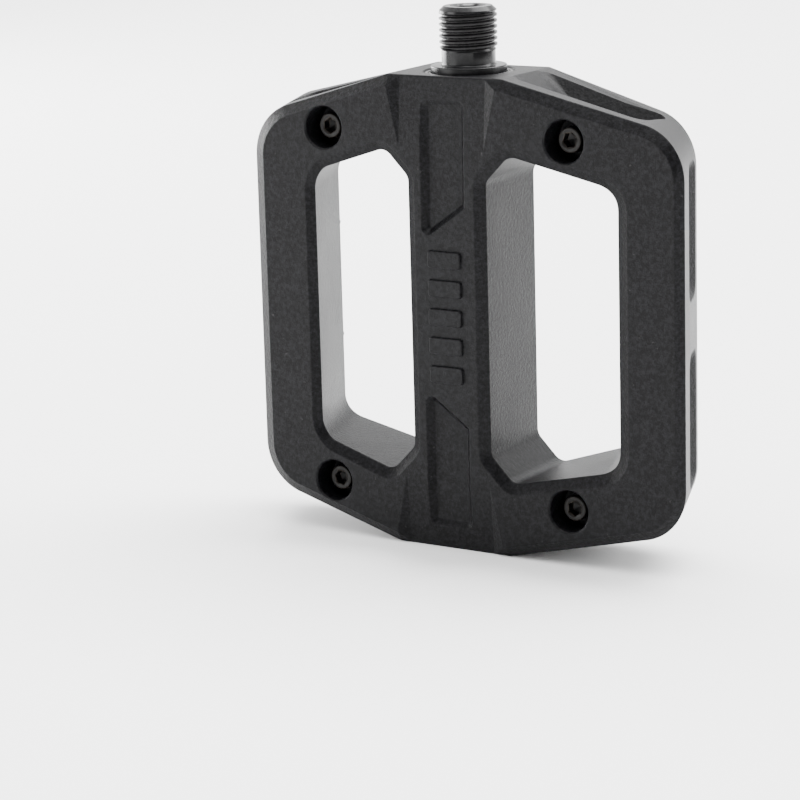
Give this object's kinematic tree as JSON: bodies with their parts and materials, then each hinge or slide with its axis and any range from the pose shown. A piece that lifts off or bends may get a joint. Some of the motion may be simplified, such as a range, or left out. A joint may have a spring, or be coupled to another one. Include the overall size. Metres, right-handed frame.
{
  "type": "flat pedal",
  "caption": "One-sided flat bicycle pedal: moulded platform with two open windows and traction pins, spinning on a threaded spindle with a bush and a ball bearing.",
  "frame": {"origin": "on the spindle axis at the shoulder that seats against the crank arm", "axes": "+Z along the spindle towards the crank, +Y out of the pin face, -Y out of the smooth face, +X across the platform"},
  "size_m": [0.1156, 0.0317, 0.1193],
  "materials": {
    "moulded_body": "charcoal glass-filled nylon, fine speckled mould grain",
    "spindle_steel": "gloss black finished steel",
    "bearing_steel": "ground bearing steel",
    "screw_steel": "black oxide steel",
    "zinc_steel": "zinc-plated steel",
    "seal_rubber": "black rubber",
    "bush_polymer": "cream low-friction polymer",
    "cap_plastic": "black moulded plastic"
  },
  "bodies": {
    "spindle_assembly": {"spindle": "spindle_steel", "bearing_inner_race": "bearing_steel", "thrust_washer": "zinc_steel", "lock_nut": "zinc_steel"},
    "platform": {"pedal_body": "moulded_body", "crank_side_seal": "seal_rubber", "inboard_bush": "bush_polymer", "bearing_outer_race": "bearing_steel", "bearing_shield_inner": "seal_rubber", "bearing_shield_outer": "seal_rubber", "end_cap": "cap_plastic", "cap_o_ring": "seal_rubber", "pin_screw_upper_left": "screw_steel", "pin_screw_upper_right": "screw_steel", "pin_screw_lower_left": "screw_steel", "pin_screw_lower_right": "screw_steel", "square_nut_upper_left": "zinc_steel", "square_nut_upper_right": "zinc_steel", "square_nut_lower_left": "zinc_steel", "square_nut_lower_right": "zinc_steel"},
    "ball_set": {"bearing_cage": "bush_polymer", "bearing_ball_1": "bearing_steel", "bearing_ball_2": "bearing_steel", "bearing_ball_3": "bearing_steel", "bearing_ball_4": "bearing_steel", "bearing_ball_5": "bearing_steel", "bearing_ball_6": "bearing_steel", "bearing_ball_7": "bearing_steel"}
  },
  "joints": [
    {"name": "pedal_spin", "type": "hinge", "parent": "spindle_assembly", "child": "platform", "pos_m": [0, 0, -0.0539], "axis": [0, 0, 1], "continuous": true},
    {"name": "ball_set_spin", "type": "hinge", "parent": "spindle_assembly", "child": "ball_set", "pos_m": [0, 0, -0.0905], "axis": [0, 0, 1], "continuous": true}
  ],
  "couplings": [
    {"joint": "ball_set_spin", "follows": "pedal_spin", "ratio": 0.5992}
  ]
}
